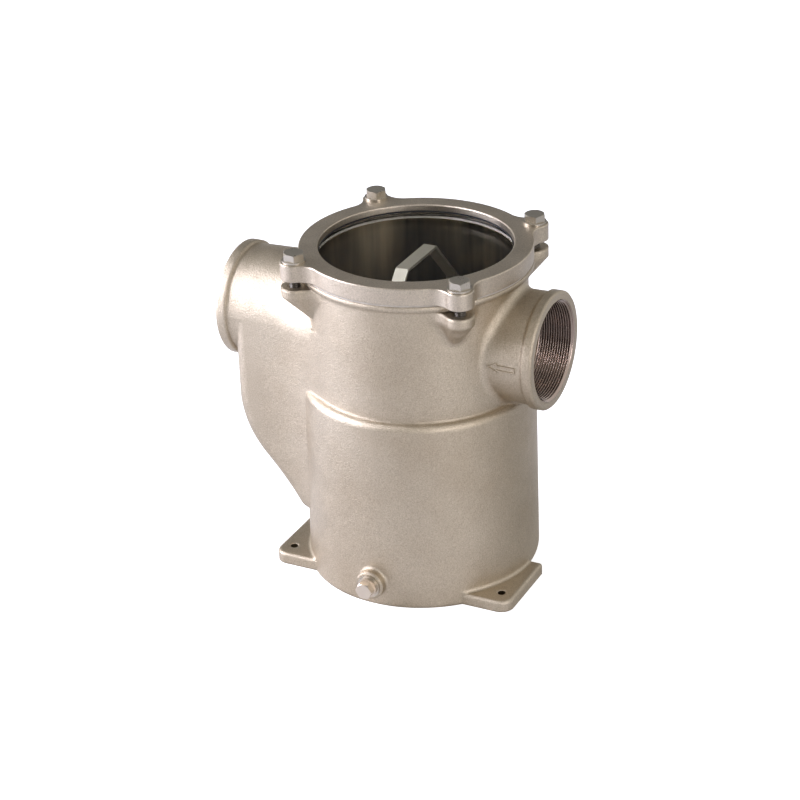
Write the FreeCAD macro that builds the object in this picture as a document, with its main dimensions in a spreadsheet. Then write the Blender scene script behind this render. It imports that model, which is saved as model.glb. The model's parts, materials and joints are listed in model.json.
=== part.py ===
import FreeCAD, Part, Sketcher, math, os

# Sea water strainer for a 3 inch raw-water line.  Millimetres, +Z up.
# The floor is z = 0 under the body's axis, the two ports lie along X and the
# inlet is the one on +X.

os.makedirs("parts", exist_ok=True)
V = FreeCAD.Vector
doc = FreeCAD.newDocument("strainer")

# ---------------------------------------------------------------- sizes ----
SIZES = (
    # body casting, outside
    ("lower_rbase", 104.9), ("lower_rtop", 103.5), ("wall_r", 97.0),
    ("base_round", 12.0), ("base_blend", 2.5),
    ("base_slope", "=(lower_rbase - lower_rtop) / shoulder_z"),
    ("base_outx", "=lower_rbase - base_round * base_slope"),
    ("base_inx", "=base_outx - base_round"), ("base_clearx", "=lower_rbase + 1"),
    ("base_clearz", 1.0), ("blend_wallx", "=lower_rbase - plate_t * base_slope"),
    ("blend_inx", "=blend_wallx - 1"), ("blend_outx", "=blend_wallx + base_blend"),
    ("blend_topz", "=plate_t + base_blend"),
    ("crease_z", 178.5), ("shoulder_z", "=crease_z - (lower_rtop - wall_r)"),
    ("shoulder_round", "=lower_rtop - wall_r"),
    ("rim_r", 102.0), ("rim_round", "=rim_r - wall_r"),
    ("rim_lowz", 284.5), ("rim_rootz", "=rim_lowz - rim_round"),
    ("body_topz", 289.0),
    # chambers
    ("upper_bore", 88.0), ("ledge_z", 176.0), ("ledge_bore", 77.0),
    ("lower_roofz", 166.0), ("lower_bore", 97.0), ("floor_t", 9.0),
    # ports
    ("port_z", 225.0), ("inlet_x", 129.5), ("outlet_x", 176.0),
    ("collar_r", 52.3), ("collar_w", 10.0), ("collar_edge", 1.2),
    ("neck_r", 50.0), ("neck_rootr", 48.5), ("neck_blend", 7.0),
    ("bore_r", 42.46), ("bore_l", 34.0), ("bore_lead", 2.3), ("throat_r", 40.0),
    # outlet duct: the passage that climbs from the lower chamber
    ("duct_x", 162.0), ("duct_halfw", 49.6), ("duct_bend", 87.0),
    ("duct_cut", 46.0), ("duct_edge", 13.0), ("duct_wall", 7.0),
    ("duct_kneex", "=duct_x - duct_bend * (1 - cos(45))"),
    ("duct_kneez", "=duct_kneex - duct_cut"),
    ("duct_bendz", "=duct_kneez + duct_bend * sin(45)"),
    ("duct_farx", "=outlet_x - collar_w / 2"), ("duct_nearx", "=wall_r * 0.4"),
    ("duct_footz", "=lower_roofz / 3"), ("duct_footx", "=duct_footz + duct_cut"),
    # passage inside the duct
    ("pass_x", "=duct_x - duct_wall"), ("pass_bend", "=duct_bend - duct_wall"),
    ("pass_kneex", "=pass_x - pass_bend * (1 - cos(45))"),
    ("pass_kneez", "=duct_bendz - pass_bend * sin(45)"),
    ("pass_footz", "=duct_footz + duct_wall"),
    ("pass_footx", "=pass_kneex - (pass_kneez - pass_footz)"),
    ("pass_topz", "=port_z + bore_r + 5"),
    # lugs for the cover bolts
    ("bolt_r", 110.0), ("lug_nose", 12.3), ("lug_flank", 18.0),
    ("lug_topz", 283.0), ("lug_facez", 274.5), ("lug_rootz", 249.0), ("lug_lowr", 91.5),
    ("lug_lownose", 5.0), ("lug_lowflank", 6.0), ("bolt_tap", 10.1), ("tap_endz", 269.0),
    # base plate
    ("plate_halfl", 117.0), ("plate_front", 75.5), ("plate_t", 10.5),
    ("plate_corner", 12.0), ("plate_edge", 2.5),
    ("plate_endx", "=plate_halfl - plate_corner"), ("plate_sidey", "=plate_front - plate_corner"),
    ("foot_x", 104.0), ("foot_y", 60.0), ("foot_hole", 7.0), ("foot_holer", "=foot_hole / 2"),
    # drain
    ("drain_z", 22.0), ("drain_bossr", 13.0), ("boss_round", 2.0), ("drain_facey", 112.5),
    ("drain_tap", 13.3), ("drain_thread", 13.1), ("drain_collar", 18.0),
    ("drain_collart", 3.0), ("drain_hex", 14.0), ("drain_hext", 7.0),
    ("drain_washt", 1.5), ("drain_washr", 10.5), ("drain_shank", 13.0),
    ("drain_corner", "=drain_hex / 2 / cos(30)"),
    # cover ring, window and gaskets
    ("ring_z", "=body_topz + seal_t"), ("ring_topz", "=ring_z + ring_h"),
    ("bolt_x", "=bolt_r * cos(45)"), ("ring_holer", "=ring_hole / 2"),
    ("seal_t", 2.0), ("seal_ir", 88.4), ("seal_or", 100.8),
    ("ring_h", 15.0), ("ring_or", 102.0), ("ring_ir", 84.9),
    ("ring_seatr", 92.3), ("ring_edge", 1.2), ("ring_hole", 11.0),
    ("lens_r", 91.8), ("lens_t", 8.0), ("cap_seal_t", 1.0), ("cap_sealir", 84.2),
    # cover bolts, M10
    ("bolt_corner", "=bolt_flat / 2 / cos(30)"), ("bolt_seatz", "=ring_topz + washer_t"),
    ("bolt_d", 10.0), ("bolt_flat", 17.0), ("bolt_headh", 6.6),
    ("bolt_len", 35.0), ("washer_r", 10.4), ("washer_t", 1.8),
    ("washer_bore", 10.6),
    # basket
    ("basket_r", 74.0), ("basket_t", 1.2), ("basket_bottomz", 24.0),
    ("basket_rimr", 84.0), ("basket_rimt", 2.5), ("basket_hole", 10.0),
    ("basket_sealt", 2.0), ("basket_firstz", 42.0), ("basket_pitch", 25.0),
    ("basket_rows", 5), ("basket_cols", 14), ("basket_ring1", 25.0), ("basket_ring2", 50.0),
    ("basket_holer", "=basket_hole / 2"), ("basket_in", "=basket_r - basket_t"),
    ("basket_topz", "=ledge_z + basket_sealt + basket_rimt"),
    ("strap_w", 12.0), ("strap_t", 2.5), ("strap_topz", 289.4),
    ("strap_flat", 56.0), ("strap_kneez", 243.0), ("strap_lowz", 148.0),
    ("sole_r", "=basket_in - 0.1"), ("strap_bend", 1.2),
    ("strap_y", "=basket_in - 0.3"), ("strap_iny", "=strap_y - strap_t"),
    ("strap_half", "=strap_flat / 2"), ("strap_inhalf", "=strap_half - strap_t * tan(23)"),
    ("strap_inz", "=strap_topz - strap_t"), ("strap_inkneez", "=strap_kneez - strap_t * tan(22)"),
)
sheet = doc.addObject("Spreadsheet::Sheet", "Sizes")
for row, (alias, value) in enumerate(SIZES, start=1):
    sheet.set("A%d" % row, alias)
    sheet.set("B%d" % row, str(value))
    sheet.setAlias("B%d" % row, alias)
doc.recompute()


def val(name):
    """Number behind an alias; a leading minus flips it, '0' is zero."""
    if name == "0":
        return 0.0
    sign = -1.0 if name.startswith("-") else 1.0
    return sign * float(sheet.get(name.lstrip("-")))


def ref(name):
    """Expression for an alias, with the same minus rule."""
    return "-Sizes." + name[1:] if name.startswith("-") else "Sizes." + name


def size(*terms):
    return sum(val(t) for t in terms)


# ------------------------------------------------------ sketch helpers ----
def plane_of(body, role):
    return [f for f in body.Origin.OriginFeatures if f.Role == role][0]


def draw(sk, corners, arcs=None):
    """Closed outline through named corners; arcs maps a side's number to
    (radius name, +1 for a bulge to the left of travel, -1 to the right)."""
    arcs = arcs or {}
    pts = [V(val(x), val(y), 0) for x, y in corners]
    count = len(pts)
    for i, a in enumerate(pts):
        b = pts[(i + 1) % count]
        if i not in arcs:
            sk.addGeometry(Part.LineSegment(a, b), False)
            continue
        radius, side = val(arcs[i][0]), arcs[i][1]
        mid, half = (a + b) * 0.5, (b - a).Length / 2
        left = V(-(b - a).y, (b - a).x, 0).normalize()
        centre = mid - left * side * math.sqrt(max(radius ** 2 - half ** 2, 0))
        first, last = (b, a) if side > 0 else (a, b)
        a0 = math.atan2(first.y - centre.y, first.x - centre.x)
        a1 = math.atan2(last.y - centre.y, last.x - centre.x)
        sk.addGeometry(Part.ArcOfCircle(Part.Circle(centre, V(0, 0, 1), radius),
                                        a0, a1), False)
    ends = []
    for i in range(count):
        if i in arcs and arcs[i][1] > 0:
            ends.append((2, 1))
        else:
            ends.append((1, 2))
    for i in range(count):
        j = (i + 1) % count
        sk.addConstraint(Sketcher.Constraint("Coincident", i, ends[i][1], j, ends[j][0]))
    for i, (x, y) in enumerate(corners):
        for kind, name in (("DistanceX", x), ("DistanceY", y)):
            n = sk.addConstraint(Sketcher.Constraint(kind, -1, 1, i, ends[i][0], val(name)))
            if name != "0":
                sk.setExpression("Constraints[%d]" % n, ref(name))
    for i, (radius, _) in arcs.items():
        n = sk.addConstraint(Sketcher.Constraint("Radius", i, val(radius)))
        sk.setExpression("Constraints[%d]" % n, ref(radius))


def circle(sk, x, y, radius):
    g = sk.addGeometry(Part.Circle(V(val(x), val(y), 0), V(0, 0, 1), val(radius)), False)
    for kind, name in (("DistanceX", x), ("DistanceY", y)):
        n = sk.addConstraint(Sketcher.Constraint(kind, -1, 1, g, 3, val(name)))
        if name != "0":
            sk.setExpression("Constraints[%d]" % n, ref(name))
    n = sk.addConstraint(Sketcher.Constraint("Radius", g, val(radius)))
    sk.setExpression("Constraints[%d]" % n, ref(radius))


def new_body(name):
    return doc.addObject("PartDesign::Body", name)


def new_sketch(body, role, name):
    sk = doc.addObject("Sketcher::SketchObject", name)
    body.addObject(sk)
    sk.AttachmentSupport = [(plane_of(body, role), "")]
    sk.MapMode = "FlatFace"
    return sk


def lift(sk, expression):
    sk.setExpression("AttachmentOffset.Base.z", expression)


def feature(body, kind, name, sk, **values):
    f = doc.addObject("PartDesign::" + kind, name)
    body.addObject(f)
    f.Profile = sk
    for key, value in values.items():
        if isinstance(value, str) and key in ("Length", "Length2"):
            f.setExpression(key, value)
        else:
            setattr(f, key, value)
    body.Tip = f
    doc.recompute()
    return f


def around(body, name, originals, count):
    """Polar pattern about Z."""
    f = doc.addObject("PartDesign::PolarPattern", name)
    body.addObject(f)
    f.Originals = originals
    f.Axis = (plane_of(body, "Z_Axis"), [""])
    f.Angle = 360.0
    f.Occurrences = count
    body.Tip = f
    doc.recompute()
    return f


def turned(body, kind, name, sk, axis):
    return feature(body, kind, name, sk, Angle=360.0,
                   ReferenceAxis=(plane_of(body, axis), [""]))


def part(kind, name, spot=None, turn=None, **expressions):
    """Part primitive with its sizes and its spot bound to the sheet."""
    obj = doc.addObject("Part::" + kind, name)
    for key, expression in expressions.items():
        obj.setExpression(key, expression)
    if turn:
        obj.Placement = FreeCAD.Placement(V(0, 0, 0), FreeCAD.Rotation(*turn))
    for key, expression in (spot or {}).items():
        obj.setExpression("Placement.Base." + key, expression)
    return obj


def combine(kind, name, *objs):
    obj = doc.addObject("Part::" + kind, name)
    if kind == "Cut":
        obj.Base, obj.Tool = objs
    else:
        obj.Shapes = list(objs)
    doc.recompute()
    return obj


def rounded(name, base, radius, picked):
    """Fillet on the edges that picked() accepts."""
    obj = doc.addObject("Part::Fillet", name)
    obj.Base = base
    r = val(radius)
    obj.Edges = [(i, r, r) for i, e in enumerate(base.Shape.Edges, start=1) if picked(e)]
    doc.recompute()
    return obj


ALONG_X = (V(0, 1, 0), 90)
ALONG_MINUS_Y = (V(1, 0, 0), 90)
CORNERS = ((1, 1), (-1, 1), (-1, -1), (1, -1))

# ---------------------------------------------------------- body casting ----
# The upper wall runs full height so that the inlet neck and the outlet duct
# blend into one plain cylinder before the wider lower body is added.
core = part("Cylinder", "core", Radius="Sizes.wall_r", Height="Sizes.body_topz")

neck = part("Cone", "inlet_neck", {"x": "Sizes.wall_r / 2", "z": "Sizes.port_z"}, ALONG_X,
            Radius1="Sizes.neck_rootr", Radius2="Sizes.neck_r",
            Height="Sizes.inlet_x - Sizes.collar_w / 2 - Sizes.wall_r / 2")
cored = combine("MultiFuse", "core_inlet", core, neck)
blended = rounded(
    "inlet_blend", cored, "neck_blend",
    lambda e: e.BoundBox.ZLength > val("neck_rootr") and e.BoundBox.XMin > val("wall_r") / 2
    and e.BoundBox.XMax < size("wall_r") + 1 and e.BoundBox.YLength > val("neck_rootr"))


def duct_section(x, halfw, top, low):
    """Arched section across the duct: straight sides under a half ellipse."""
    z = val("port_z")
    points = [V(x, halfw * math.cos(t), z + top * math.sin(t))
              for t in (math.pi * k / 12 for k in range(13))]
    arch = Part.BSplineCurve()
    arch.interpolate(points, InitialTangent=V(0, 0, 1), FinalTangent=V(0, 0, -1))
    a, b = points[0], points[-1]
    return Part.Wire([arch.toShape(), Part.makeLine(b, V(x, -halfw, low)),
                      Part.makeLine(V(x, -halfw, low), V(x, halfw, low)),
                      Part.makeLine(V(x, halfw, low), a)])


# The duct widens toward the body, so its side runs out almost flush with the
# wall; a spreadsheet-driven loft holds that sweep.
width = val("duct_halfw")
wall = val("wall_r")
stations = ((-size("outlet_x") + 4, width, width), (-size("duct_x") + 14, width + 0.4, width + 0.8),
            (-wall * 1.13, width + 3.4, width + 2.6), (-wall * 0.87, width + 12.5, width + 4.4),
            (-wall * 0.56, wall * 0.83, width + 5.4), (-wall * 0.3, wall * 0.93, width + 5.6))
flare = doc.addObject("Part::Feature", "duct_flare")
flare.Shape = Part.makeLoft([duct_section(x, w, h, 1.0) for x, w, h in stations], True, False)

side = doc.addObject("Sketcher::SketchObject", "duct_side")
side.Placement = FreeCAD.Placement(V(0, 0, 0), FreeCAD.Rotation(V(1, 0, 0), 90))
draw(side, (("-duct_nearx", "body_topz"), ("-duct_farx", "body_topz"), ("-duct_farx", "port_z"),
            ("-duct_x", "port_z"), ("-duct_x", "duct_bendz"), ("-duct_kneex", "duct_kneez"),
            ("-duct_footx", "duct_footz"), ("-duct_nearx", "duct_footz")),
     {4: ("duct_bend", -1)})
doc.recompute()
slab = doc.addObject("Part::Extrusion", "duct_slab")
slab.Base, slab.DirMode = side, "Normal"
slab.Solid = slab.Symmetric = True
slab.setExpression("LengthFwd", "4 * Sizes.duct_halfw")
doc.recompute()
duct = combine("MultiCommon", "duct_form", flare, slab)

duct_soft = rounded(
    "duct_soft", duct, "duct_edge",
    lambda e: all(abs(p.y) > 0.9 * width and p.z < val("port_z") + 0.5 and p.x < -0.9 * wall
                  for p in [e.valueAt(e.FirstParameter + k * (e.LastParameter - e.FirstParameter) / 4)
                            for k in (1, 2, 3)])
    and e.BoundBox.ZLength > 5)

# Outside of the lower chamber, the shoulder and the seating rim, as one turn.
shell = new_body("CastingTurn")
sk = new_sketch(shell, "XZ_Plane", "casting_outline")
draw(sk, (("0", "0"), ("lower_rbase", "0"), ("lower_rtop", "shoulder_z"), ("wall_r", "crease_z"),
          ("wall_r", "rim_rootz"), ("rim_r", "rim_lowz"), ("rim_r", "body_topz"),
          ("0", "body_topz")),
     {2: ("shoulder_round", -1), 4: ("rim_round", 1)})
turned(shell, "Revolution", "casting_turn", sk, "Z_Axis")

# The bottom edge is rounded on the rear half only: the front half of the mould
# carries the foot plate, and the parting plane is y = 0.
corner = doc.addObject("Sketcher::SketchObject", "base_corner")
corner.Placement = FreeCAD.Placement(V(0, 0, 0), FreeCAD.Rotation(V(1, 0, 0), 90))
draw(corner, (("base_inx", "-base_clearz"), ("base_clearx", "-base_clearz"),
              ("base_clearx", "base_round"), ("base_outx", "base_round"), ("base_inx", "0")),
     {3: ("base_round", 1)})
doc.recompute()
rear_edge = doc.addObject("Part::Revolution", "rear_edge")
rear_edge.Source, rear_edge.Axis, rear_edge.Base = corner, V(0, 0, 1), V(0, 0, 0)
rear_edge.Angle, rear_edge.Solid = 180.0, True
doc.recompute()
turned_body = combine("Cut", "rounded_turn", shell, rear_edge)

outlet_neck = part("Cylinder", "outlet_neck", {"x": "-Sizes.duct_farx", "z": "Sizes.port_z"}, ALONG_X,
                   Radius="Sizes.duct_halfw", Height="Sizes.duct_farx - Sizes.duct_x + 20")


def collar(name, x):
    rim = part("Cylinder", name, {"x": x, "z": "Sizes.port_z"}, ALONG_X,
               Radius="Sizes.collar_r", Height="Sizes.collar_w")
    doc.recompute()
    edge = doc.addObject("Part::Chamfer", name + "_edge")
    edge.Base = rim
    c = val("collar_edge")
    edge.Edges = [(i, c, c) for i, e in enumerate(rim.Shape.Edges, start=1)
                  if e.Curve.TypeId == "Part::GeomCircle"]
    return edge


inlet_collar = collar("inlet_collar", "Sizes.inlet_x - Sizes.collar_w")
outlet_collar = collar("outlet_collar", "-Sizes.outlet_x")


def lug_outline(sk, root, centre="bolt_r", nose_r="lug_nose", flank_r="lug_flank"):
    """Nose round the bolt, one hollow flank each side, closed inside the ring."""
    far, ring, nose, flank = val(centre), val(root), val(nose_r), val(flank_r)
    reach, gap = ring + flank, nose + flank
    turn = math.acos((reach ** 2 + far ** 2 - gap ** 2) / (2 * reach * far))
    hollow = V(reach * math.cos(turn), reach * math.sin(turn), 0)
    touch = V(far, 0, 0) + (hollow - V(far, 0, 0)) * (nose / gap)
    seat = hollow * (ring / reach)
    lean = math.atan2(touch.y, touch.x - far)
    low = math.atan2((seat - hollow).y, (seat - hollow).x)
    high = math.atan2((touch - hollow).y, (touch - hollow).x)
    n = sk.addGeometry(Part.ArcOfCircle(Part.Circle(V(far, 0, 0), V(0, 0, 1), nose), -lean, lean), False)
    full = 2 * math.pi
    a = sk.addGeometry(Part.ArcOfCircle(Part.Circle(hollow, V(0, 0, 1), flank),
                                        low % full, high % full), False)
    b = sk.addGeometry(Part.ArcOfCircle(Part.Circle(V(hollow.x, -hollow.y, 0), V(0, 0, 1), flank),
                                        -high % full, -low % full), False)
    c = sk.addGeometry(Part.LineSegment(V(seat.x, -seat.y, 0), seat), False)
    r = sk.addGeometry(Part.Circle(V(0, 0, 0), V(0, 0, 1), ring), True)
    add = lambda *args: sk.addConstraint(Sketcher.Constraint(*args))
    add("Tangent", n, 2, a, 2)
    add("Tangent", n, 1, b, 1)
    add("Coincident", a, 1, c, 2)
    add("Coincident", b, 2, c, 1)
    add("Coincident", r, 3, -1, 1)
    add("PointOnObject", n, 3, -1)
    add("Tangent", a, 1, r)
    add("Equal", a, b)
    add("Symmetric", c, 1, c, 2, -1)
    for kind, args, name in (("DistanceX", (-1, 1, n, 3), centre), ("Radius", (n,), nose_r),
                             ("Radius", (a,), flank_r), ("Radius", (r,), root)):
        k = add(kind, *args, val(name))
        sk.setExpression("Constraints[%d]" % k, ref(name))


# Each lug is plain where the tapping is and tapers into the wall below it.
lugs = new_body("LugRing")
plan = new_sketch(lugs, "XY_Plane", "lug_plan")
lug_outline(plan, "wall_r")
lift(plan, "Sizes.lug_facez")
lug = feature(lugs, "Pad", "lug", plan, Length="Sizes.lug_topz - Sizes.lug_facez")
root = new_sketch(lugs, "XY_Plane", "lug_root_plan")
lug_outline(root, "upper_bore", "lug_lowr", "lug_lownose", "lug_lowflank")
lift(root, "Sizes.lug_rootz")
taper = feature(lugs, "AdditiveLoft", "lug_taper", plan, Sections=[root], Ruled=True)
around(lugs, "lug_set", [lug, taper], 4)
lugs.Placement = FreeCAD.Placement(V(0, 0, 0), FreeCAD.Rotation(V(0, 0, 1), 45))

plate = new_body("BasePlate")
plate_plan = sk = new_sketch(plate, "XY_Plane", "plate_plan")
draw(sk, (("-plate_halfl", "0"), ("-plate_halfl", "-plate_sidey"), ("-plate_endx", "-plate_front"),
          ("plate_endx", "-plate_front"), ("plate_halfl", "-plate_sidey"), ("plate_halfl", "0")),
     {1: ("plate_corner", -1), 3: ("plate_corner", -1)})
for x in ("-foot_x", "foot_x"):
    circle(sk, x, "-foot_y", "foot_holer")
feature(plate, "Pad", "plate", sk, Length="Sizes.plate_t")
plate_soft = rounded("plate_soft", plate, "plate_edge",
                     lambda e: e.BoundBox.ZMin > val("plate_t") - 0.01 and e.BoundBox.YMin < -1
                     and not (e.Curve.TypeId == "Part::GeomCircle" and e.Closed))

boss = part("Cylinder", "drain_boss", {"y": "-Sizes.lower_bore - 1", "z": "Sizes.drain_z"}, ALONG_MINUS_Y,
            Radius="Sizes.drain_bossr", Height="Sizes.drain_facey - Sizes.lower_bore - 1")
# A small blend closes the corner between the foot plate and the wall.
fillet = doc.addObject("Sketcher::SketchObject", "foot_fillet")
fillet.Placement = corner.Placement
draw(fillet, (("blend_inx", "plate_t"), ("blend_outx", "plate_t"), ("blend_wallx", "blend_topz"),
              ("blend_inx", "blend_topz")), {1: ("base_blend", 1)})
doc.recompute()
fillet_turn = doc.addObject("Part::Revolution", "fillet_turn")
fillet_turn.Source, fillet_turn.Axis, fillet_turn.Base = fillet, V(0, 0, 1), V(0, 0, 0)
fillet_turn.Angle, fillet_turn.Solid = -180.0, True
footprint = doc.addObject("Part::Extrusion", "foot_column")
footprint.Base, footprint.DirMode, footprint.Solid = plate_plan, "Normal", True
footprint.setExpression("LengthFwd", "Sizes.blend_topz")
doc.recompute()
foot_blend = combine("MultiCommon", "foot_blend", fillet_turn, footprint)

footed = combine("MultiFuse", "footed_turn", turned_body, plate_soft, boss, foot_blend)
foot_soft = rounded(
    "boss_blend", footed, "boss_round",
    lambda e: e.BoundBox.YMax < -val("wall_r") and e.BoundBox.ZLength > val("drain_bossr")
    and e.Curve.TypeId == "Part::GeomBSplineCurve")
solid = combine("MultiFuse", "casting_solid", blended, duct_soft, foot_soft, outlet_neck,
                inlet_collar, outlet_collar, lugs)

# Hollows
upper = part("Cylinder", "upper_chamber", {"z": "Sizes.ledge_z"}, None,
             Radius="Sizes.upper_bore", Height="Sizes.body_topz - Sizes.ledge_z + 1")
throat = part("Cylinder", "basket_throat", {"z": "Sizes.lower_roofz - 1"}, None,
              Radius="Sizes.ledge_bore", Height="Sizes.ledge_z - Sizes.lower_roofz + 2")
lower = part("Cylinder", "lower_chamber", {"z": "Sizes.floor_t"}, None,
             Radius="Sizes.lower_bore", Height="Sizes.lower_roofz - Sizes.floor_t")
bore_in = part("Cylinder", "inlet_thread_bore", {"x": "Sizes.inlet_x - Sizes.bore_l", "z": "Sizes.port_z"},
               ALONG_X, Radius="Sizes.bore_r", Height="Sizes.bore_l + 1")
throat_in = part("Cylinder", "inlet_throat", {"x": "Sizes.ledge_bore / 2", "z": "Sizes.port_z"},
                 ALONG_X, Radius="Sizes.throat_r", Height="Sizes.inlet_x - Sizes.ledge_bore / 2 - 1")
lead_in = part("Cone", "inlet_lead", {"x": "Sizes.inlet_x - Sizes.bore_lead", "z": "Sizes.port_z"}, ALONG_X,
               Radius1="Sizes.bore_r", Radius2="Sizes.bore_r + Sizes.bore_lead", Height="Sizes.bore_lead")
bore_out = part("Cylinder", "outlet_thread_bore", {"x": "-Sizes.outlet_x - 1", "z": "Sizes.port_z"},
                ALONG_X, Radius="Sizes.bore_r", Height="Sizes.bore_l + 1")
lead_out = part("Cone", "outlet_lead", {"x": "-Sizes.outlet_x", "z": "Sizes.port_z"}, ALONG_X,
                Radius1="Sizes.bore_r + Sizes.bore_lead", Radius2="Sizes.bore_r", Height="Sizes.bore_lead")

# The duct's passage keeps one wall thickness inside the duct and stops short
# of the upper chamber's wall, so water only reaches it from below.
passage_side = doc.addObject("Sketcher::SketchObject", "passage_side")
passage_side.Placement = side.Placement
draw(passage_side, (("-duct_nearx", "pass_topz"), ("-pass_x", "pass_topz"),
                    ("-pass_x", "duct_bendz"), ("-pass_kneex", "pass_kneez"),
                    ("-pass_footx", "pass_footz"), ("-duct_nearx", "pass_footz")),
     {2: ("pass_bend", -1)})
doc.recompute()
pass_slab = doc.addObject("Part::Extrusion", "passage_slab")
pass_slab.Base, pass_slab.DirMode = passage_side, "Normal"
pass_slab.Solid = pass_slab.Symmetric = True
pass_slab.setExpression("LengthFwd", "4 * Sizes.duct_halfw")
arch = part("Cylinder", "passage_arch", {"x": "-Sizes.outlet_x", "z": "Sizes.port_z"}, ALONG_X,
            Radius="Sizes.throat_r", Height="Sizes.outlet_x")
legs = part("Box", "passage_legs",
            {"x": "-Sizes.outlet_x", "y": "-Sizes.throat_r", "z": "Sizes.floor_t"}, None,
            Length="Sizes.outlet_x", Width="2 * Sizes.throat_r", Height="Sizes.port_z - Sizes.floor_t")
passage_form = combine("MultiCommon", "passage_form", pass_slab,
                       combine("MultiFuse", "passage_limit", arch, legs))
keep = part("Cylinder", "chamber_wall", {"z": "Sizes.lower_roofz"}, None,
            Radius="Sizes.wall_r", Height="Sizes.body_topz - Sizes.lower_roofz")
passage = combine("Cut", "passage", passage_form, keep)

drain = part("Cylinder", "drain_tapping", {"y": "-Sizes.lower_bore / 2", "z": "Sizes.drain_z"}, ALONG_MINUS_Y,
             Radius="Sizes.drain_tap / 2", Height="Sizes.drain_facey")
taps = []
for n, (sx, sy) in enumerate(CORNERS, start=1):
    spot = {"x": "%d * Sizes.bolt_x" % sx, "y": "%d * Sizes.bolt_x" % sy, "z": "Sizes.tap_endz"}
    taps.append(part("Cylinder", "cover_tapping_%d" % n, spot, None, Radius="Sizes.bolt_tap / 2",
                     Height="Sizes.lug_topz - Sizes.tap_endz + 1"))
hollow = combine("MultiFuse", "casting_hollow", upper, throat, lower, bore_in, throat_in, lead_in,
                 bore_out, lead_out, passage, drain, *taps)
casting = combine("Cut", "casting", solid, hollow)
casting.Label = "body_casting"

# ------------------------------------------- cover ring, window, gaskets ----
ring = new_body("CoverRing")
sk = new_sketch(ring, "XY_Plane", "ring_plan")
circle(sk, "0", "0", "ring_or")
circle(sk, "0", "0", "ring_ir")
lift(sk, "Sizes.ring_z")
feature(ring, "Pad", "ring_disc", sk, Length="Sizes.ring_h")
sk = new_sketch(ring, "XY_Plane", "ring_lug_plan")
lug_outline(sk, "ring_or")
lift(sk, "Sizes.ring_z")
ear = feature(ring, "Pad", "ring_lug", sk, Length="Sizes.ring_h")
sk = new_sketch(ring, "XY_Plane", "ring_hole_plan")
circle(sk, "bolt_r", "0", "ring_holer")
lift(sk, "Sizes.ring_topz")
hole = feature(ring, "Pocket", "ring_hole_cut", sk, Length="Sizes.ring_h + 1")
around(ring, "ring_lugs", [ear, hole], 4)
sk = new_sketch(ring, "XY_Plane", "ring_seat_plan")
circle(sk, "0", "0", "ring_seatr")
lift(sk, "Sizes.ring_z")
feature(ring, "Pocket", "ring_seat", sk, Length="Sizes.lens_t + Sizes.cap_seal_t", Reversed=True)
ring.Placement = FreeCAD.Placement(V(0, 0, 0), FreeCAD.Rotation(V(0, 0, 1), 45))
cover = rounded("cover_ring", ring, "ring_edge",
                lambda e: e.BoundBox.ZMin > val("ring_topz") - 0.01
                and not (e.Curve.TypeId == "Part::GeomCircle"
                         and abs(e.Curve.Radius - val("ring_holer")) < 0.01))
cover.Label = "cover_ring"


def washer(name, z, height, outer, inner, spot=None, turn=None):
    """Flat ring with a plain bore."""
    spot = dict(spot or {})
    o = part("Cylinder", name + "_disc", dict(spot, **z), turn, Radius=outer, Height=height)
    i = part("Cylinder", name + "_bore", dict(spot, **z), turn, Radius=inner, Height=height)
    return combine("Cut", name, o, i)


seal = washer("window_gasket", {"z": "Sizes.body_topz"}, "Sizes.seal_t", "Sizes.seal_or", "Sizes.seal_ir")
cap_seal = washer("cap_gasket", {"z": "Sizes.ring_z + Sizes.lens_t"}, "Sizes.cap_seal_t",
                  "Sizes.lens_r", "Sizes.cap_sealir")
lens = part("Cylinder", "window", {"z": "Sizes.ring_z"}, None, Radius="Sizes.lens_r", Height="Sizes.lens_t")

# -------------------------------------------------------- cover fasteners ----
fasteners = []
for n, (sx, sy) in enumerate(CORNERS, start=1):
    spot = {"x": "%d * Sizes.bolt_x" % sx, "y": "%d * Sizes.bolt_x" % sy}
    hexagon = part("Prism", "bolt%d_hex" % n, dict(spot, z="Sizes.bolt_seatz"), None,
                   Circumradius="Sizes.bolt_corner", Height="Sizes.bolt_headh")
    dome = part("Cone", "bolt%d_bevel" % n, dict(spot, z="Sizes.bolt_seatz"), None,
                Radius1="Sizes.bolt_corner + Sizes.bolt_headh * 1.3", Radius2="Sizes.bolt_flat / 2 * 0.97",
                Height="Sizes.bolt_headh")
    head = combine("MultiCommon", "bolt%d_head" % n, hexagon, dome)
    shank = part("Cylinder", "bolt%d_shank" % n, dict(spot, z="Sizes.bolt_seatz - Sizes.bolt_len"), None,
                 Radius="Sizes.bolt_d / 2", Height="Sizes.bolt_len + Sizes.bolt_headh / 2")
    fasteners.append(combine("MultiFuse", "cover_bolt_%d" % n, head, shank))
    fasteners.append(washer("cover_washer_%d" % n, {"z": "Sizes.ring_topz"}, "Sizes.washer_t",
                            "Sizes.washer_r", "Sizes.washer_bore / 2", spot))

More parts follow.
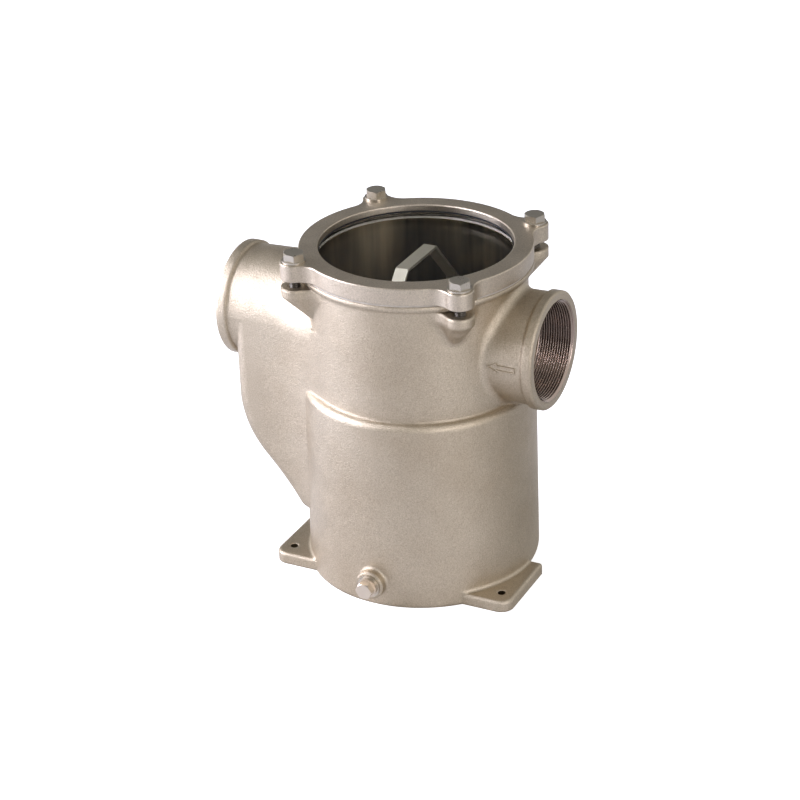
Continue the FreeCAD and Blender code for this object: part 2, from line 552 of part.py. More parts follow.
# ----------------------------------------------------------------- basket ----
shell_b = new_body("BasketShell")
sk = new_sketch(shell_b, "XY_Plane", "basket_plan")
circle(sk, "0", "0", "basket_r")
circle(sk, "0", "0", "basket_in")
lift(sk, "Sizes.basket_bottomz")
feature(shell_b, "Pad", "basket_tube", sk, Length="Sizes.basket_topz - Sizes.basket_bottomz")
sk = new_sketch(shell_b, "XZ_Plane", "basket_hole_plan")
for row in range(int(val("basket_rows"))):
    z = val("basket_firstz") + row * val("basket_pitch")
    g = sk.addGeometry(Part.Circle(V(0, z, 0), V(0, 0, 1), val("basket_holer")), False)
    sk.addConstraint(Sketcher.Constraint("PointOnObject", g, 3, -2))
    k = sk.addConstraint(Sketcher.Constraint("DistanceY", -1, 1, g, 3, z))
    sk.setExpression("Constraints[%d]" % k, "Sizes.basket_firstz + %d * Sizes.basket_pitch" % row)
    k = sk.addConstraint(Sketcher.Constraint("Radius", g, val("basket_holer")))
    sk.setExpression("Constraints[%d]" % k, "Sizes.basket_holer")
column = feature(shell_b, "Pocket", "basket_hole_cut", sk, Length="Sizes.basket_r + 5")
around(shell_b, "basket_holes", [column], int(val("basket_cols")))

sole = new_body("BasketBottom")
sk = new_sketch(sole, "XY_Plane", "sole_plan")
circle(sk, "0", "0", "sole_r")
lift(sk, "Sizes.basket_bottomz")
feature(sole, "Pad", "sole_disc", sk, Length="Sizes.basket_t")
for name, radius, count in (("sole_inner", "basket_ring1", 6), ("sole_outer", "basket_ring2", 12)):
    sk = new_sketch(sole, "XY_Plane", name + "_plan")
    circle(sk, radius, "0", "basket_holer")
    lift(sk, "Sizes.basket_bottomz + Sizes.basket_t")
    cut = feature(sole, "Pocket", name + "_cut", sk, Length="Sizes.basket_t + 1")
    around(sole, name, [cut], count)

rim = washer("basket_rim", {"z": "Sizes.ledge_z + Sizes.basket_sealt"}, "Sizes.basket_rimt",
             "Sizes.basket_rimr", "Sizes.basket_r")
basket_seal = washer("basket_gasket", {"z": "Sizes.ledge_z"}, "Sizes.basket_sealt",
                     "Sizes.basket_rimr", "Sizes.ledge_bore + 0.4")

strap = new_body("BasketHandle")
sk = new_sketch(strap, "YZ_Plane", "strap_side")
draw(sk, (("-strap_y", "strap_lowz"), ("-strap_iny", "strap_lowz"), ("-strap_iny", "strap_inkneez"),
          ("-strap_inhalf", "strap_inz"), ("strap_inhalf", "strap_inz"), ("strap_iny", "strap_inkneez"),
          ("strap_iny", "strap_lowz"), ("strap_y", "strap_lowz"), ("strap_y", "strap_kneez"),
          ("strap_half", "strap_topz"), ("-strap_half", "strap_topz"), ("-strap_y", "strap_kneez")))
feature(strap, "Pad", "strap", sk, Length="Sizes.strap_w", Midplane=True)
strap_soft = rounded("basket_handle", strap, "strap_bend",
                     lambda e: e.BoundBox.XLength > val("strap_w") - 0.1
                     and e.BoundBox.ZMin > val("strap_lowz") + 5)

# ------------------------------------------------------------ drain plug ----
face = "-Sizes.drain_facey"
drain_washer = washer("drain_washer", {"z": "Sizes.drain_z"}, "Sizes.drain_washt", "Sizes.drain_washr",
                      "Sizes.drain_tap / 2", {"y": face}, ALONG_MINUS_Y)
plug_collar = part("Cylinder", "plug_collar", {"y": face + " - Sizes.drain_washt", "z": "Sizes.drain_z"},
                   ALONG_MINUS_Y, Radius="Sizes.drain_collar / 2", Height="Sizes.drain_collart")
head_spot = {"y": face + " - Sizes.drain_washt - Sizes.drain_collart", "z": "Sizes.drain_z"}
plug_hex = part("Prism", "plug_hex", head_spot, ALONG_MINUS_Y, Circumradius="Sizes.drain_corner",
                Height="Sizes.drain_hext")
plug_bevel = part("Cone", "plug_bevel", head_spot, ALONG_MINUS_Y,
                  Radius1="Sizes.drain_corner + Sizes.drain_hext * 1.3",
                  Radius2="Sizes.drain_hex / 2 * 0.96", Height="Sizes.drain_hext")
plug_shank = part("Cylinder", "plug_shank", {"y": face + " + Sizes.drain_shank", "z": "Sizes.drain_z"},
                  ALONG_MINUS_Y, Radius="Sizes.drain_thread / 2",
                  Height="Sizes.drain_shank + Sizes.drain_washt + 1")
plug = combine("MultiFuse", "drain_plug", plug_collar, plug_shank,
               combine("MultiCommon", "plug_head", plug_hex, plug_bevel))

# ----------------------------------------------------------------- output ----
NODES = {
    "body_casting": casting, "cover_ring": cover, "window": lens, "window_gasket": seal,
    "cap_gasket": cap_seal, "basket_shell": shell_b, "basket_bottom": sole, "basket_rim": rim,
    "basket_gasket": basket_seal, "basket_handle": strap_soft, "drain_plug": plug,
    "drain_washer": drain_washer,
}
for piece in fasteners:
    NODES[piece.Name] = piece

doc.recompute()
for obj in doc.Objects:
    if any(word in ("Invalid", "Error", "Touched") for word in obj.State):
        raise RuntimeError("%s: %s" % (obj.Name, obj.State))
for name, obj in NODES.items():
    obj.Label = name
    shape = obj.Shape
    if shape.isNull() or not shape.isValid() or not shape.Solids:
        raise RuntimeError("bad shape: " + name)
    shape.exportStep("parts/%s.step" % name)
    print("%-16s %d solid %10.0f mm3" % (name, len(shape.Solids), shape.Volume))
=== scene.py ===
import bpy, json, math
from mathutils import Vector, Matrix
from mathutils.bvhtree import BVHTree


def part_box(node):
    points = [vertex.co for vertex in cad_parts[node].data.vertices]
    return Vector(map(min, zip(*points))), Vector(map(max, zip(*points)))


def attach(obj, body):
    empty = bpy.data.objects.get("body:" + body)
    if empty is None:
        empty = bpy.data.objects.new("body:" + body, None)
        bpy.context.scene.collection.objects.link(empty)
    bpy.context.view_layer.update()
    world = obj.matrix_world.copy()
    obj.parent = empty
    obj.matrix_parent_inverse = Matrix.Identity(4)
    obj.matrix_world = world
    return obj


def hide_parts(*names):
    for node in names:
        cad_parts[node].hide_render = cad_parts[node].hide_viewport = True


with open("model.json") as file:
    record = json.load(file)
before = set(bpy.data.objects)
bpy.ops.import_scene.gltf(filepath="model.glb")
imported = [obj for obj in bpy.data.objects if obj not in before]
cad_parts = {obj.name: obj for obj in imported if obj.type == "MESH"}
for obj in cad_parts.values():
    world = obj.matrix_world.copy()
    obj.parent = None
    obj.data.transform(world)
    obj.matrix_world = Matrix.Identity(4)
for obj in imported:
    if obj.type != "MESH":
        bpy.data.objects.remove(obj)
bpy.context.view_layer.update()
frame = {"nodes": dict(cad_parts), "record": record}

# Sea water strainer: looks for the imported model.  Metres, +Z up, ports along X.

# ------------------------------------------------------------------ places ----
MM = 0.001
NODES = frame["nodes"]
CAST_LOW, CAST_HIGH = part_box("body_casting")
RING_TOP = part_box("cover_ring")[1].z
INLET = {m["name"]: m for m in frame["record"]["mounts"]}["inlet_port"]
PORT_Z = INLET["pos_m"][2]
BORE_R = INLET["dims"]["r_mm"] * MM
INLET_X, OUTLET_X = CAST_HIGH.x, CAST_LOW.x
BORE_L, BORE_LEAD = 34.0 * MM, 2.3 * MM
WALL_R, CHAMBER_FLOOR = 97.0 * MM, 9.0 * MM
FOOT_X, FOOT_Y, FOOT_R = 104.0 * MM, -60.0 * MM, 3.5 * MM
# Margins for telling a CAD face by its place: for a round made of facets, a flat, a fit.
SAG, HAIR, TOUCH = 0.3 * MM, 0.1 * MM, 0.05 * MM


# ------------------------------------------------------------ node helpers ----
class Shader:
    """Small wrapper that adds and links the nodes of one material."""

    def __init__(self, name):
        self.mat = bpy.data.materials.new(name)
        self.mat.use_nodes = True
        self.tree = self.mat.node_tree
        self.bsdf = self.tree.nodes["Principled BSDF"]
        self.coords = self.tree.nodes.new("ShaderNodeTexCoord").outputs["Object"]

    def node(self, kind, **values):
        """New node; a value goes to the node's own setting of that name, or else to its socket."""
        n = self.tree.nodes.new("ShaderNode" + kind)
        for key, value in values.items():
            if hasattr(n, key):
                setattr(n, key, value)
            else:
                n.inputs[key].default_value = value
        return n

    def link(self, a, b):
        self.tree.links.new(a, b)

    def drive(self, **sources):
        """Links each source to the shader's socket; an underscore in a name is a space."""
        for key, source in sources.items():
            self.link(source, self.bsdf.inputs[key.replace("_", " ")])

    def set(self, **values):
        for key, value in values.items():
            self.bsdf.inputs[key.replace("_", " ")].default_value = value

    def noise(self, scale, detail=3.0, rough=0.55, stretch=None):
        n = self.node("TexNoise", Scale=scale, Detail=detail, Roughness=rough)
        source = self.coords
        if stretch:
            m = self.node("Mapping")
            m.inputs["Scale"].default_value = stretch
            self.link(source, m.inputs["Vector"])
            source = m.outputs["Vector"]
        self.link(source, n.inputs["Vector"])
        return n.outputs["Fac"]

    def ramp(self, source, low, high, a=0.3, b=0.7):
        """Colour that runs from low at a to high at b."""
        r = self.node("ValToRGB")
        first, last = r.color_ramp.elements
        first.position, last.position = a, b
        first.color, last.color = low, high
        self.link(source, r.inputs["Fac"])
        return r.outputs["Color"]

    def spread(self, source, low, high, a=0.0, b=1.0):
        """Number that runs from low at a to high at b."""
        r = self.node("MapRange")
        for key, value in (("From Min", a), ("From Max", b), ("To Min", low), ("To Max", high)):
            r.inputs[key].default_value = value
        self.link(source, r.inputs["Value"])
        return r.outputs["Result"]

    def math(self, op, *terms):
        m = self.node("Math", operation=op)
        for k, term in enumerate(terms):
            self.link(term, m.inputs[k])
        return m.outputs["Value"]

    def bump(self, height, strength, distance, normal=None):
        b = self.node("Bump", Strength=strength, Distance=distance)
        self.link(height, b.inputs["Height"])
        if normal is not None:
            self.link(normal, b.inputs["Normal"])
        return b.outputs["Normal"]


def tone(r, g, b):
    return (r, g, b, 1.0)


# --------------------------------------------------------------- materials ----
# Heights, and distances from the axis, over which the lugs' wider softening comes and goes.
LUG_FOOT, LUG_FACE = (0.240, 0.250), (0.2735, 0.2765)
LUG_REACH = (0.112, 0.118)


def lug_radius(s, edge, blend):
    """Bevel radius: blend on the lugs' flanks, edge elsewhere, each band fading at its ends."""
    apart = s.node("SeparateXYZ")
    s.link(s.coords, apart.inputs[0])
    x, y, z = (apart.outputs[axis] for axis in "XYZ")
    from_axis = s.math("SQRT", s.math("ADD", s.math("MULTIPLY", x, x), s.math("MULTIPLY", y, y)))
    near = s.math("MULTIPLY", s.spread(z, 0.0, 1.0, *LUG_FOOT), s.spread(z, 1.0, 0.0, *LUG_FACE))
    near = s.math("MULTIPLY", near, s.spread(from_axis, 1.0, 0.0, *LUG_REACH))
    return s.spread(near, edge, blend)


def cast_nickel(name, light, dark, rough, edge=0.0040, grain=0.95, blend=0.0):
    """Blasted pale casting: fine grain, soft clouds of tone, softened edges, and with
    blend a wider softening where the lugs run into the wall."""
    s = Shader(name)
    cloud = s.ramp(s.noise(11.0, 4.0), dark, light, 0.35, 0.65)
    speck = s.spread(s.noise(880.0, 3.0, 0.7), 0.76, 1.24, 0.28, 0.72)
    mix = s.node("VectorMath", operation="SCALE")
    s.link(cloud, mix.inputs[0])
    s.link(speck, mix.inputs["Scale"])
    s.set(Metallic=1.0)
    s.drive(Base_Color=mix.outputs["Vector"],
            Roughness=s.spread(s.noise(60.0, 5.0), rough - 0.05, rough + 0.06, 0.3, 0.7))
    soft = s.node("Bevel", samples=6, Radius=edge)
    if blend:
        s.link(lug_radius(s, edge, blend), soft.inputs["Radius"])
    waves = s.bump(s.noise(75.0, 3.0), 0.3, 0.0012, soft.outputs["Normal"])
    s.drive(Normal=s.bump(s.noise(920.0, 3.0, 0.65), grain, 0.0004, waves))
    return s.mat


def turned_metal(name, light, dark, rough, stretch):
    """Machined face with fine lathe lines, long where stretch is small. The bump gives the real lines; the
    colour follows the same streaks from dark to light, which is painted shade with streaks of painted
    highlight.
    """
    s = Shader(name)
    lines = s.noise(60.0, 4.0, 0.6, stretch)
    s.set(Metallic=1.0)
    s.drive(Base_Color=s.ramp(lines, dark, light, 0.35, 0.65),
            Roughness=s.spread(s.noise(40.0, 3.0), rough - 0.06, rough + 0.08, 0.3, 0.7),
            Normal=s.bump(lines, 0.3, 0.0003))
    return s.mat


def simple_metal(name, colour, rough, grain=700.0, strength=0.12):
    """Plain metal with a slight cloud of tone and a faint grain."""
    s = Shader(name)
    darker = tone(*(c * 0.9 for c in colour[:3]))
    s.set(Metallic=1.0)
    s.drive(Base_Color=s.ramp(s.noise(25.0, 4.0), darker, colour),
            Roughness=s.spread(s.noise(120.0, 4.0), rough - 0.05, rough + 0.07, 0.3, 0.7),
            Normal=s.bump(s.noise(grain, 2.0), strength, 0.0002))
    return s.mat


def rubber(name, dark, light):
    s = Shader(name)
    s.set(Roughness=0.55)
    s.drive(Base_Color=s.ramp(s.noise(200.0, 3.0), dark, light),
            Normal=s.bump(s.noise(900.0, 2.0), 0.2, 0.0002))
    return s.mat


def window_clear(name):
    """Clear sheet. Its index is lower than a real one's, so that the stage's white
    doesn't cover what lies under it."""
    s = Shader(name)
    s.set(IOR=1.08, Roughness=0.0, Transmission_Weight=1.0)
    s.drive(Base_Color=s.ramp(s.noise(8.0, 2.0), tone(0.93, 0.95, 0.93), tone(0.97, 0.98, 0.97)))
    return s.mat


# ------------------------------------------------------------------- stage ----
# The photograph's view, fitted to the object's outline.
VIEW_AZ, VIEW_EL, VIEW_ROLL = math.radians(27.2), math.radians(26.7), math.radians(-2.0)
VIEW_DIST, LENS, SENSOR = 2.106, 105.67, 36.0
VIEW_AIM = Vector((-0.0208, 0.0, 0.1485))
LIGHT_AIM = Vector((0.0, 0.0, 0.15))
WHITE = (1.0, 1.0, 1.0, 1.0)
FLOOR_DROP, FLOOR_SIZE = 0.2 * MM, 12.0


def make_camera():
    back = Vector((math.sin(VIEW_AZ) * math.cos(VIEW_EL), -math.cos(VIEW_AZ) * math.cos(VIEW_EL),
                   math.sin(VIEW_EL)))
    right = Vector((math.cos(VIEW_AZ), math.sin(VIEW_AZ), 0.0))
    up = back.cross(right)
    r = right * math.cos(VIEW_ROLL) + up * math.sin(VIEW_ROLL)
    u = up * math.cos(VIEW_ROLL) - right * math.sin(VIEW_ROLL)
    turn = Matrix((r, u, back)).transposed().to_4x4()
    data = bpy.data.cameras.new("camera")
    data.lens, data.sensor_width, data.clip_end = LENS, SENSOR, 50.0
    camera = bpy.data.objects.new("camera", data)
    camera.matrix_world = Matrix.Translation(VIEW_AIM + back * VIEW_DIST) @ turn
    bpy.context.scene.collection.objects.link(camera)
    bpy.context.scene.camera = camera


def set_up(obj, centre, z_axis):
    """Puts obj in the scene at centre with its own Z along z_axis."""
    bpy.context.scene.collection.objects.link(obj)
    obj.matrix_world = Matrix.Translation(centre) @ z_axis.to_track_quat("Z", "Y").to_matrix().to_4x4()


def plane(name, centre, size, facing, mat):
    """Flat card of size (width, height) whose face looks along facing."""
    mesh = bpy.data.meshes.new(name)
    w, h = size[0] / 2, size[1] / 2
    mesh.from_pydata([(-w, -h, 0), (w, -h, 0), (w, h, 0), (-w, h, 0)], [], [(0, 1, 2, 3)])
    mesh.materials.append(mat)
    obj = bpy.data.objects.new(name, mesh)
    set_up(obj, Vector(centre), Vector(facing))
    return obj


def glow(name, grey):
    """Material that shines evenly and reflects nothing."""
    mat = bpy.data.materials.new(name)
    mat.use_nodes = True
    tree = mat.node_tree
    tree.nodes.clear()
    e = tree.nodes.new("ShaderNodeEmission")
    e.inputs["Color"].default_value = (grey, grey, grey, 1.0)
    tree.links.new(e.outputs[0], tree.nodes.new("ShaderNodeOutputMaterial").inputs["Surface"])
    return mat


def reflected_card(name, spot, size, grey):
    """Grey card that metal and glass mirror. It is unseen otherwise and throws no shadow."""
    card = plane(name, spot, size, LIGHT_AIM - Vector(spot), glow(name, grey))
    card.visible_camera = card.visible_diffuse = card.visible_shadow = False


def softbox(name, spot, size, power, colour):
    data = bpy.data.lights.new(name, "AREA")
    data.shape, data.size, data.size_y = "RECTANGLE", size[0], size[1]
    data.energy, data.color = power, colour
    spot = Vector(spot)
    set_up(bpy.data.objects.new(name, data), spot, spot - LIGHT_AIM)


def seen_white(tree, dark, mirrored, white):
    """white for camera and glass rays, mirrored for glossy rays, dark for the rest."""
    path = tree.nodes.new("ShaderNodeLightPath")

    def switch(ray, before, value):
        r = tree.nodes.new("ShaderNodeMapRange")
        tree.links.new(path.outputs[ray], r.inputs["Value"])
        r.inputs["To Max"].default_value = value
        if isinstance(before, float):
            r.inputs["To Min"].default_value = before
        else:
            tree.links.new(before, r.inputs["To Min"])
        return r.outputs["Result"]

    level = switch("Is Glossy Ray", dark, mirrored)
    return switch("Is Transmission Ray", switch("Is Camera Ray", level, white), white)


def make_world():
    world = bpy.data.worlds.new("studio")
    bpy.context.scene.world = world
    world.use_nodes = True
    tree = world.node_tree
    back = tree.nodes["Background"]
    back.inputs["Color"].default_value = WHITE
    tree.links.new(seen_white(tree, 0.25, 1.0, 1.0), back.inputs["Strength"])


def make_floor():
    mat = bpy.data.materials.new("floor_white")
    mat.use_nodes = True
    tree = mat.node_tree
    b = tree.nodes["Principled BSDF"]
    b.inputs["Base Color"].default_value = tone(0.86, 0.86, 0.86)
    b.inputs["Roughness"].default_value = 0.9
    b.inputs["Emission Color"].default_value = WHITE
    tree.links.new(seen_white(tree, 0.0, 0.14, 0.8), b.inputs["Emission Strength"])
    plane("floor", (0, 0, -FLOOR_DROP), (FLOOR_SIZE, FLOOR_SIZE), (0, 0, 1), mat)


def make_stage():
    bpy.context.scene.view_settings.view_transform = "Standard"
    make_camera()
    make_world()
    make_floor()
    softbox("key_left", (-1.9, -0.9, 0.9), (1.3, 1.8), 79, (0.93, 0.96, 1.18))
    softbox("fill_right", (1.6, -1.2, 0.8), (0.6, 1.2), 15, (0.97, 0.97, 1.06))
    reflected_card("card_front", (0.7, -2.6, 1.2), (2.6, 2.6), 0.3)
    reflected_card("card_rear", (-0.6, 1.9, 1.3), (2.6, 2.0), 0.26)
    reflected_card("card_top", (-0.1, 0.3, 2.6), (3.0, 2.4), 0.3)


make_stage()

# ------------------------------------------------------- CAD nodes' finish ----
CAST_LIGHT, CAST_DARK = tone(0.475, 0.405, 0.31), tone(0.415, 0.345, 0.255)
CAST = cast_nickel("cast_nickel", CAST_LIGHT, CAST_DARK, 0.42, blend=0.011)
COVER = cast_nickel("cover_nickel", tone(0.51, 0.44, 0.35), tone(0.45, 0.38, 0.295), 0.38, 0.0012, 0.35)
# Chamber walls: bronze tone with painted shade (the near-black dark end) and long vertical streaks of
# painted highlight.
CHAMBER_SHADE = turned_metal("chamber_bronze_painted_shade", tone(0.44, 0.35, 0.215), tone(0.05, 0.038, 0.027), 0.34,
                       (0.35, 0.35, 0.03))
THREAD = simple_metal("thread_cut", tone(0.38, 0.30, 0.255), 0.2, 300.0, 0.01)
# Darker copy of the bolts' stainless: painted shade on the shanks in the gap between the cover ring and the
# lugs.
SHADED_SHANK = simple_metal("bolt_shank", tone(0.16, 0.145, 0.125), 0.34)
RAISED = cast_nickel("cast_raised", CAST_LIGHT, CAST_DARK, 0.40, 0.0003, 0.3)
# Lighter copy of the stainless for the basket handle: painted light, standing in for the key light that the
# clear window keeps off.
LIT_STRAP = simple_metal("strap_steel_painted_light", tone(0.68, 0.62, 0.51), 0.5)
STEEL = simple_metal("stainless", tone(0.50, 0.455, 0.385), 0.3)
PLUG = simple_metal("plug_nickel", tone(0.62, 0.54, 0.45), 0.34)
RUBBER = rubber("rubber", tone(0.008, 0.008, 0.008), tone(0.02, 0.02, 0.019))
PALE = rubber("pale_seal", tone(0.52, 0.47, 0.40), tone(0.64, 0.59, 0.52))
CLEAR = window_clear("clear_window")
BY_SLOT = {"cast_bronze": CAST, "cover_bronze": COVER, "stainless": STEEL, "clear_window": CLEAR,
           "seal_rubber": RUBBER, "pale_seal": PALE}
BY_NODE = {"drain_plug": PLUG, "basket_handle": LIT_STRAP}
for part in frame["record"]["subparts"]:
    slots = NODES[part["node"]].data.materials
    slots.clear()
    slots.append(BY_NODE.get(part["node"], BY_SLOT[part["material_slot"]]))

# ------------------------------------------------------------- made surfaces ----
SLIVER = 1e-11  # square metres; a face about this small is left out


class Skin:
    """Faces taken from a CAD node together with faces made here, as one mesh."""

    def __init__(self):
        self.verts, self.faces, self.normals, self.slots = [], [], [], []

    def take(self, node, keep, slot=lambda face: 0, reshape=lambda spot, lean: (spot, lean)):
        """Keeps what keep() accepts; reshape() may move a corner and turn its normal."""
        mesh = NODES[node].data
        number = {}
        for face in mesh.polygons:
            if not keep(face):
                continue
            ring = []
            for v in face.vertices:
                if v not in number:
                    number[v] = len(self.verts)
                    self.verts.append(tuple(reshape(mesh.vertices[v].co, face.normal)[0]))
                ring.append(number[v])
            self.faces.append(ring)
            self.normals += [tuple(reshape(mesh.vertices[v].co, mesh.corner_normals[k].vector)[1])
                             for v, k in zip(face.vertices, face.loop_indices)]
            self.slots.append(slot(face))

    def grid(self, point, rows, cols, slot, closed=True):
        """Sheet of rows x cols points, closed round the columns unless told
        otherwise; its face looks along (next column) x (next row)."""
        start = len(self.verts)
        spots = [[point(i, j) for j in range(cols)] for i in range(rows)]
        lean = []
        for i in range(rows):
            for j in range(cols):
                self.verts.append(tuple(spots[i][j]))
                if closed:
                    across = spots[i][(j + 1) % cols] - spots[i][j - 1]
                else:
                    across = spots[i][min(j + 1, cols - 1)] - spots[i][max(j - 1, 0)]
                along = spots[min(i + 1, rows - 1)][j] - spots[max(i - 1, 0)][j]
                lean.append(tuple(across.cross(along).normalized()))
        for i in range(rows - 1):
            for j in range(cols if closed else cols - 1):
                k = (j + 1) % cols
                diagonals = spots[i][j] - spots[i + 1][k], spots[i][k] - spots[i + 1][j]
                if diagonals[0].cross(diagonals[1]).length < SLIVER:
                    continue
                corners = (i * cols + j, i * cols + k, (i + 1) * cols + k, (i + 1) * cols + j)
                self.faces.append([start + c for c in corners])
                self.normals += [lean[c] for c in corners]
                self.slots.append(slot)

    def build(self, name, node, materials):
        """Makes the mesh, which stands for the CAD node."""
        mesh = bpy.data.meshes.new(name)
        mesh.from_pydata(self.verts, [], self.faces)
        for mat in materials:
            mesh.materials.append(mat)
        mesh.polygons.foreach_set("material_index", self.slots)
        mesh.polygons.foreach_set("use_smooth", [True] * len(self.faces))
        mesh.normals_split_custom_set(self.normals)
        mesh.update()
        obj = bpy.data.objects.new(name, mesh)
        bpy.context.scene.collection.objects.link(obj)
        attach(obj, "root")
        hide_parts(node)


def thread_wave(turns):
    """0 on the crest, 1 in the root, with short flats between straight flanks."""
    flat = 0.12
    t = abs(2.0 * (turns % 1.0) - 1.0)
    return min(max((t - flat) / (1.0 - 2.0 * flat), 0.0), 1.0)


# ------------------------------------------------------------- port threads ----
PITCH, THREAD_DEPTH = 2.309 * MM, 1.48 * MM
RUN_OUT = 4.0 * MM  # over which the thread fades toward the step
# Material slots of the casting, in the order that casting() gives them.
OUTER_SLOT, SHADED_INNER_SLOT, THREAD_SLOT, ARROW_SLOT = range(4)


def port_thread(skin, mouth_x, inward):
    """G 3 internal thread: right-handed, from the mouth's chamfer to the step.
    The rows follow the helix, so each ridge is a row of its own."""
    steps, cols = 12, 97
    rows = int((BORE_L / PITCH + 1) * steps) + 2

    def point(i, j):
        turn = j / (cols - 1)
        s = min(max(PITCH * (i / steps - turn), 0.0), BORE_L)
        wave = thread_wave(s / PITCH + turn)
        fade = min((BORE_L - s) / RUN_OUT, 1.0)
        r = max(BORE_R + THREAD_DEPTH * wave * fade, BORE_R + BORE_LEAD - s)
        a = 2 * math.pi * turn
        return Vector((mouth_x + inward * s, inward * r * math.cos(a), PORT_Z + r * math.sin(a)))

    skin.grid(point, rows, cols, THREAD_SLOT, closed=False)


# --------------------------------------------------------------- flow arrow ----
ARROW_TIP, ARROW_HEAD, ARROW_TAIL = 89.0 * MM, 97.0 * MM, 113.5 * MM
HALF_HEAD, HALF_SHAFT = 3.9 * MM, 2.1 * MM
LINE_W, LINE_H, LINE_SUNK = 1.2 * MM, 1.1 * MM, 0.3 * MM
NECK_R = 49.0 * MM
OUTSIDE = 80.0 * MM  # from the port's axis to where rays toward the neck start
MITRE_MAX = 2.0


def arrow_path():
    """Points round the arrow's outline, each with its sideways step for 1 of line width."""
    corners = [Vector(c) for c in ((ARROW_TIP, 0), (ARROW_HEAD, HALF_HEAD), (ARROW_HEAD, HALF_SHAFT),
                                   (ARROW_TAIL, HALF_SHAFT), (ARROW_TAIL, -HALF_SHAFT),
                                   (ARROW_HEAD, -HALF_SHAFT), (ARROW_HEAD, -HALF_HEAD))]
    pieces = 6
    path = []
    for i, b in enumerate(corners):
        a, c = corners[i - 1], corners[(i + 1) % len(corners)]
        before, after = (b - a).normalized(), (c - b).normalized()
        side_before, side_after = Vector((-before.y, before.x)), Vector((-after.y, after.x))
        mitre = (side_before + side_after).normalized()
        stretch = min(1.0 / max(mitre.dot(side_after), 1.0 / MITRE_MAX), MITRE_MAX)
        path.append((b, mitre * stretch))
        path += [(b.lerp(c, k / pieces), side_after) for k in range(1, pieces)]
    return path


def flow_arrow(skin, tree):
    """Raised outline arrow on the front of the inlet neck, pointing inward."""
    path = arrow_path()
    # Across the line: from under the neck's face up to a rounded ridge and down again.
    section = ((-LINE_W / 2, -LINE_SUNK), (-LINE_W * 0.36, LINE_H * 0.7), (-LINE_W * 0.15, LINE_H),
               (LINE_W * 0.15, LINE_H), (LINE_W * 0.36, LINE_H * 0.7), (LINE_W / 2, -LINE_SUNK))

    def point(i, j):
        side, lift = section[i]
        spot = path[j][0] + path[j][1] * side
        a = spot.y / NECK_R
        inward = Vector((0.0, math.cos(a), -math.sin(a)))
        hit = tree.ray_cast(Vector((spot.x, 0.0, PORT_Z)) - inward * OUTSIDE, inward)
        return hit[0] - inward * lift

    skin.grid(point, len(section), len(path), ARROW_SLOT)


# ------------------------------------------------------------- body casting ----
# The duct's arch, by station as in the CAD's loft: distance from the axis, half
# width, height above the port's axis.
ARCH = [[c * MM for c in row] for row in ((172.0, 49.6, 49.6), (148.0, 50.0, 50.4), (109.6, 53.0, 52.2),
                                          (84.4, 62.1, 54.0), (54.3, 80.5, 55.0))]
ARCH_NEAR, ARCH_FAR = 70.0 * MM, 165.0 * MM
ARCH_OFF = 0.07  # share of its size; what lies further off is not the arch
ARCH_STEP = 2.0 * MM  # for the slope along the duct
SEAM = 0.4 * MM  # what lies this near the wall's radius is on the seam with the wall
ALIKE = 0.8  # cosine; a corner that leans further away keeps its own normal
BEYOND = 0.3  # from the mid plane to where rays toward the duct's sides start
cast_mesh = NODES["body_casting"].data
cast_tree = BVHTree.FromPolygons([v.co for v in cast_mesh.vertices],
                                 [list(p.vertices) for p in cast_mesh.polygons])


def casting_keep(face):
    """False for the plain wall and lead of either port, which port_thread replaces."""
    c, n = face.center, face.normal
    r = math.hypot(c.y, c.z - PORT_Z)
    on_bore = BORE_R - SAG < r < BORE_R + BORE_LEAD + TOUCH
    faces_axis = (c.y * n.y + (c.z - PORT_Z) * n.z) < -0.3 * r
    depth = min(INLET_X - c.x, c.x - OUTLET_X)
    return not (on_bore and faces_axis and depth < BORE_L + HAIR)


def casting_slot(face):
    """Bronze with painted shade and vertical streaks of painted highlight inside the chambers; in the foot
    holes the same material is painted shade; cast face elsewhere.
    """
    c, n = face.center, face.normal
    from_foot = math.hypot(abs(c.x) - FOOT_X, c.y - FOOT_Y)
    # Foot holes take the chamber material: painted shade in the recess.
    if abs(from_foot - FOOT_R) < SAG + HAIR and abs(n.z) < 0.5:
        return SHADED_INNER_SLOT
    r = math.hypot(c.x, c.y)
    within = r < WALL_R + SAG and CHAMBER_FLOOR - HAIR < c.z < CAST_HIGH.z - HAIR
    return SHADED_INNER_SLOT if within and c.x * n.x + c.y * n.y < 0.2 * r else OUTER_SLOT


def arch_at(away):
    """Half width and height of the arch, smooth between the stations."""
    for k in range(len(ARCH) - 1):
        (a, wa, ha), (b, wb, hb) = ARCH[k], ARCH[k + 1]
        if away > b:
            break
    t = min(max((a - away) / (a - b), 0.0), 1.0)
    before, after = ARCH[max(k - 1, 0)], ARCH[min(k + 2, len(ARCH) - 1)]

    def blend(p0, p1, p2, p3):
        """Catmull-Rom curve from p1 to p2."""
        return p1 + 0.5 * t * (p2 - p0 + t * (2 * p0 - 5 * p1 + 4 * p2 - p3 + t * (3 * (p1 - p2) + p3 - p0)))

    return blend(before[1], wa, wb, after[1]), blend(before[2], ha, hb, after[2])


def arch_slope(away, y, z, width, height):
    """Normal of the arch at y and z above the port's axis, with the half width and height there."""
    wide_in, high_in = arch_at(away - ARCH_STEP)
    wide_out, high_out = arch_at(away + ARCH_STEP)
    grow_w, grow_h = (wide_in - wide_out) / (2 * ARCH_STEP), (high_in - high_out) / (2 * ARCH_STEP)
    return Vector((-(y * y * grow_w / width ** 3 + z * z * grow_h / height ** 3),
                   y / width ** 2, z / height ** 2)).normalized()


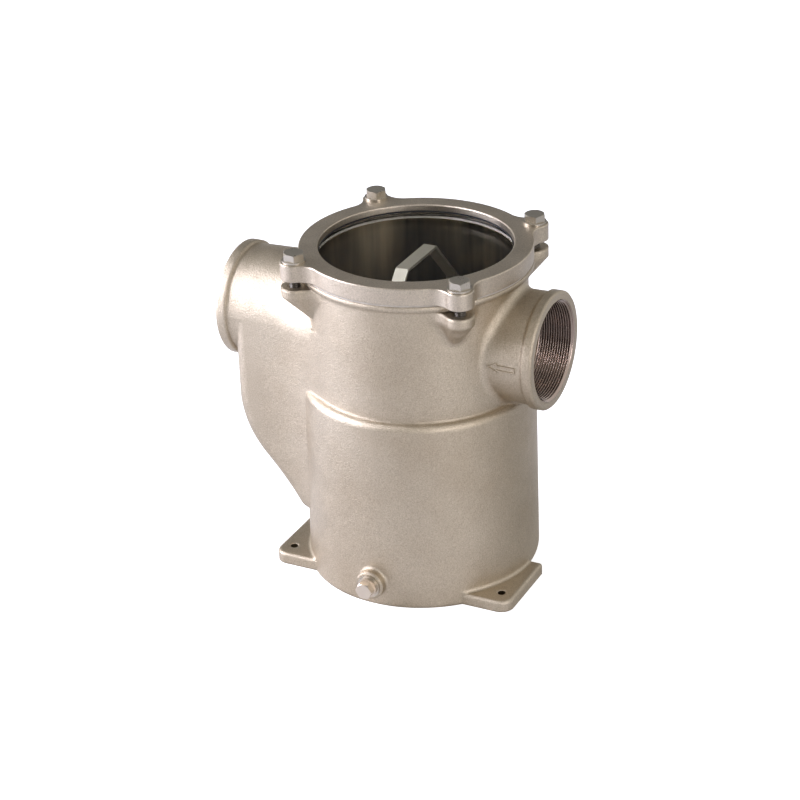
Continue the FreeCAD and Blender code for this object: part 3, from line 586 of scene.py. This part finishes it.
def true_arch(spot, lean):
    """Seats a point of the duct's arch on a plain half ellipse, which evens out its highlight."""
    away, up = -spot.x, spot.z - PORT_Z
    from_axis = math.hypot(spot.x, spot.y)
    if away > ARCH_FAR or away < ARCH_NEAR or up < 0.0 or from_axis < WALL_R - SEAM:
        return spot, lean
    width, height = arch_at(away)
    way = math.copysign(1.0, spot.y)
    side = cast_tree.ray_cast(Vector((spot.x, way * BEYOND, PORT_Z)), Vector((0, -way, 0)))
    if side[0] is not None:
        width = abs(side[0].y)
    e = math.hypot(spot.y / width, up / height)
    if abs(e - 1.0) > ARCH_OFF:
        return spot, lean
    seat = Vector((spot.x, spot.y / e, PORT_Z + up / e))
    if abs(from_axis - WALL_R) < SEAM:
        seat.x = -math.sqrt(max(from_axis ** 2 - seat.y ** 2, 0.0))
    slope = arch_slope(away, seat.y, seat.z - PORT_Z, width, height)
    return seat, slope if slope.dot(lean) > ALIKE else lean


def casting():
    skin = Skin()
    skin.take("body_casting", casting_keep, casting_slot, true_arch)
    port_thread(skin, INLET_X, -1)
    port_thread(skin, OUTLET_X, 1)
    flow_arrow(skin, cast_tree)
    skin.build("casting", "body_casting", (CAST, CHAMBER_SHADE, THREAD, RAISED))


casting()

# -------------------------------------------------------------- cover bolts ----
BOLTS = 4
BOLT_R, BOLT_PITCH, BOLT_DEPTH = 5.0 * MM, 1.5 * MM, 0.9 * MM
WASHER_T = 1.8 * MM
END_R = 0.0002 * MM  # the ring of points that closes a shank's end
SEAT_Z = RING_TOP + WASHER_T


def threaded_bolt(number):
    """The CAD's bolt with its plain shank changed for a threaded one."""
    node = "cover_bolt_%d" % number
    low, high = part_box(node)
    centre = (low + high) / 2
    rows, cols = 170, 28
    span = SEAT_Z - low.z

    def head(face):
        c = face.center
        return math.hypot(c.x - centre.x, c.y - centre.y) > BOLT_R + TOUCH or c.z > SEAT_Z + HAIR

    def point(i, j):
        """Row 0 closes the shank's end; the rest climb from there to the seat."""
        s = span * max(i - 1, 0) / (rows - 2)
        r = BOLT_R - BOLT_DEPTH * (1.0 - thread_wave(s / BOLT_PITCH - j / cols))
        r = END_R if i == 0 else min(r, BOLT_R - BOLT_DEPTH + s)
        a = 2 * math.pi * j / cols
        return Vector((centre.x + r * math.cos(a), centre.y + r * math.sin(a), low.z + s))

    # The threaded shank takes the dark copy: painted shade in the gap under the ring.
    shaded_shank_slot = 1
    skin = Skin()
    skin.take(node, head)
    skin.grid(point, rows, cols, shaded_shank_slot)
    skin.build("bolt_%d" % number, node, (STEEL, SHADED_SHANK))


for number in range(1, BOLTS + 1):
    threaded_bolt(number)
